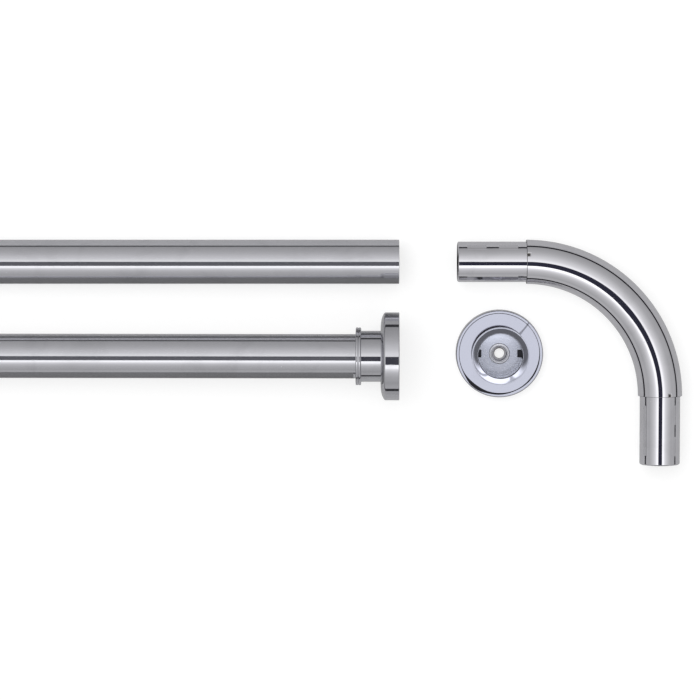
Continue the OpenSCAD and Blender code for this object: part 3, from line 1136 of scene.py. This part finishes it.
# %% Dark flags beside the rods
flag_level = 0.17
flag_gap = 0.009
flag_top = tube_r * math.cos(math.radians(45))
flag_drop = 0.026
near_face_end = 0.021
flag_material, tree = stage_material("dark_flag")
facing = add(tree, "ShaderNodeNewGeometry").outputs["Backfacing"]
flag_side = mix_shaders(tree, facing, glow(tree, flag_level), see_through(tree))
add(tree, "ShaderNodeOutputMaterial", {"Surface": flag_side})


def only_mirrored(made):
    """Hides a card from everything except reflections."""
    made.visible_camera = False
    made.visible_diffuse = False
    made.visible_transmission = False
    made.visible_volume_scatter = False
    made.visible_shadow = False


for name, place, start, end in (
    ("upper", at_elbow, rod_low.x - corner.x, rod_high.x - corner.x),
    ("lower", at_lower_rod, 0, rod_length - near_face_end),
):
    flag_bm = bmesh.new()
    bmesh.ops.create_grid(flag_bm, x_segments=1, y_segments=1, size=0.5)
    bmesh.ops.scale(flag_bm, verts=flag_bm.verts[:], vec=(end - start, flag_top + flag_drop, 1))
    bmesh.ops.rotate(flag_bm, verts=flag_bm.verts[:], cent=(0, 0, 0),
                     matrix=Matrix.Rotation(-quarter, 3, "X"))
    middle = ((start + end) / 2, -tube_r - flag_gap, (flag_top - flag_drop) / 2)
    bmesh.ops.translate(flag_bm, verts=flag_bm.verts[:], vec=middle)
    bmesh.ops.transform(flag_bm, matrix=place, verts=flag_bm.verts[:])
    only_mirrored(stage_object(name + "_flag", flag_bm, flag_material))
    print(name, f"flag {end - start:.3f} m long")

# %% [markdown]
# A dish such as the loose flange mirrors the camera's mouth in its whole face, and
# a photographer stands a small white hood over it. The hood is an open egg shape
# round the flange. Rays that come from outside pass through it, so no other part
# knows that it is there. What is drawn on it is measured in the flange's own frame,
# and its seam and its cap are drawn as the leaning camera sees them.

# %% Measures for the hood over the loose flange
hood_r = 0.038
hood_foot = 0.013
hood_stretch = 1.7
hood_top = hood_foot + hood_r * hood_stretch
hood_material, tree = stage_material("white_hood")
where = own_place(tree, at_loose_flange)
spot = add(tree, "ShaderNodeSeparateXYZ", {"Vector": where}).outputs
rise = work_out(tree, "SUBTRACT", spot["Z"], rim_height)
lean_x = work_out(tree, "MULTIPLY_ADD", rise, (aim.x - loose_centre.x) / distance, spot["X"])
lean_y = work_out(tree, "MULTIPLY_ADD", rise, math.tan(camera_lean), spot["Y"])
print(f"hood {hood_top:.3f} m high")

# %% [markdown]
# One dark line runs round the hood near its foot. The flange's face shows it as the
# dark ring inside the rim. The line is thin nearly all round, and swells toward
# three hours of the clock, where the ring in the photograph grows into a crescent.
# Each swelling is an hour, how narrow it is, and how much it adds.

# %% The dark line near the hood's foot
line_height = 0.0218
line_half_width = 0.0010
swellings = ((7.15, 18.0, 0.0066), (6.0, 20.0, 0.0026), (4.1, 9.0, 0.0020))


def toward(tree, spot, clock, power):
    """1 in the direction of an hour of the clock, falling to 0 away from it."""
    turn = math.radians(90 - 30 * clock)
    along = work_out(tree, "MULTIPLY", spot["X"], math.cos(turn) / hood_r)
    along = work_out(tree, "MULTIPLY_ADD", spot["Y"], math.sin(turn) / hood_r, along)
    return work_out(tree, "POWER", work_out(tree, "MAXIMUM", along, 0.0), power)


half_width = line_half_width
for clock, power, extra in swellings:
    half_width = work_out(tree, "MULTIPLY_ADD", toward(tree, spot, clock, power), extra, half_width)
off_line = work_out(tree, "ABSOLUTE", work_out(tree, "SUBTRACT", spot["Z"], line_height))
on_line = work_out(tree, "LESS_THAN", off_line, half_width)
print("dark line with", len(swellings), "swellings")

# %% [markdown]
# The top of the hood is a dark cap with one bright wedge on its far side, and two
# thin ribs cross it. The dished inside of the flange shows the cap as a dark ring
# round the screw hole and the wedge as the white crescent in it. One seam runs up
# the hood's right side, as far as the cap.

# %% The seam, the cap and its wedge
seam_turn = math.radians(46)
seam_half = 0.0008
cap_middle = (0.0016, -0.0030, hood_top)
cap_edge = (0.0103, 0.0118)
wedge_spread = 0.62
wedge_edge = (-0.0008, 0.0022)
rib_spread = 0.52
rib_half = 0.0004

across = work_out(tree, "MULTIPLY", lean_x, -math.sin(seam_turn))
across = work_out(tree, "MULTIPLY_ADD", lean_y, math.cos(seam_turn), across)
on_seam = work_out(tree, "LESS_THAN", work_out(tree, "ABSOLUTE", across), seam_half)
on_seam = work_out(tree, "MULTIPLY", on_seam, work_out(tree, "GREATER_THAN", spot["X"], 0.0))

to_cap = add(tree, "ShaderNodeVectorMath", {0: where, 1: cap_middle}, operation="DISTANCE")
on_cap = the_rest(tree, fade(tree, to_cap.outputs["Value"], *cap_edge))
on_seam = work_out(tree, "MULTIPLY", on_seam, the_rest(tree, on_cap))

aside = work_out(tree, "ABSOLUTE", lean_x)
wedge = fade(tree, work_out(tree, "MULTIPLY_ADD", aside, -wedge_spread, lean_y), *wedge_edge)
off_rib = work_out(tree, "ABSOLUTE", work_out(tree, "MULTIPLY_ADD", lean_y, -rib_spread, aside))
on_rib = work_out(tree, "MULTIPLY", on_cap, work_out(tree, "LESS_THAN", off_rib, rib_half))
print("hood drawing", len(tree.nodes), "nodes")

# %% [markdown]
# The light of the hood is 1, less what the seam takes. The cap takes most of it away
# and the wedge gives it back and more, and the ribs and the dark line dim the rest.

# %% The hood's light and its shell
light = work_out(tree, "MULTIPLY_ADD", on_seam, -0.55, 1.0)
cap_change = work_out(tree, "MULTIPLY_ADD", wedge, 1.6, -0.82)
light = work_out(tree, "MULTIPLY_ADD", on_cap, cap_change, light)
for mask, dimming in ((on_rib, -0.6), (on_line, -0.97)):
    light = work_out(tree, "MULTIPLY", light, work_out(tree, "MULTIPLY_ADD", mask, dimming, 1.0))
path = add(tree, "ShaderNodeLightPath").outputs
facing = add(tree, "ShaderNodeNewGeometry").outputs["Backfacing"]
from_inside = work_out(tree, "LESS_THAN", path["Transparent Depth"], 0.5)
from_inside = work_out(tree, "MULTIPLY", from_inside, facing)
hood_side = mix_shaders(tree, from_inside, see_through(tree), glow(tree, light, (1.0, 1.03, 1.15)))
add(tree, "ShaderNodeOutputMaterial", {"Surface": hood_side})

hood_bm = bmesh.new()
bmesh.ops.create_uvsphere(hood_bm, u_segments=72, v_segments=48, radius=hood_r)
bmesh.ops.bisect_plane(hood_bm, geom=hood_bm.verts[:] + hood_bm.edges[:] + hood_bm.faces[:],
                       plane_co=(0, 0, 0), plane_no=(0, 0, 1), clear_inner=True)
bmesh.ops.scale(hood_bm, verts=hood_bm.verts[:], vec=(1, 1, hood_stretch))
bmesh.ops.translate(hood_bm, verts=hood_bm.verts[:], vec=(loose_centre.x, loose_centre.y, hood_foot))
print("hood", len(hood_bm.faces), "faces")
only_mirrored(stage_object("white_hood", hood_bm, hood_material))

# %% [markdown]
# One wide soft lamp overhead adds the rest. It stays out of the reflections, where a
# real tent would swallow it too.

# %% The lamp
lamp_target = Vector((0.1, 0, 0))
lamp = bpy.data.objects.new("soft_lamp", bpy.data.lights.new("soft_lamp", "AREA"))
bpy.context.scene.collection.objects.link(lamp)
lamp.data.shape = "DISK"
lamp.data.size = 1.4
lamp.data.energy = 16
lamp.location = (-0.1, 0.45, 1.6)
lamp.rotation_mode = "QUATERNION"
lamp.rotation_quaternion = (lamp_target - lamp.location).to_track_quat("-Z", "Y")
lamp.visible_glossy = False
bpy.context.scene.view_settings.view_transform = "Standard"
print("lamp", lamp.data.energy, "W")
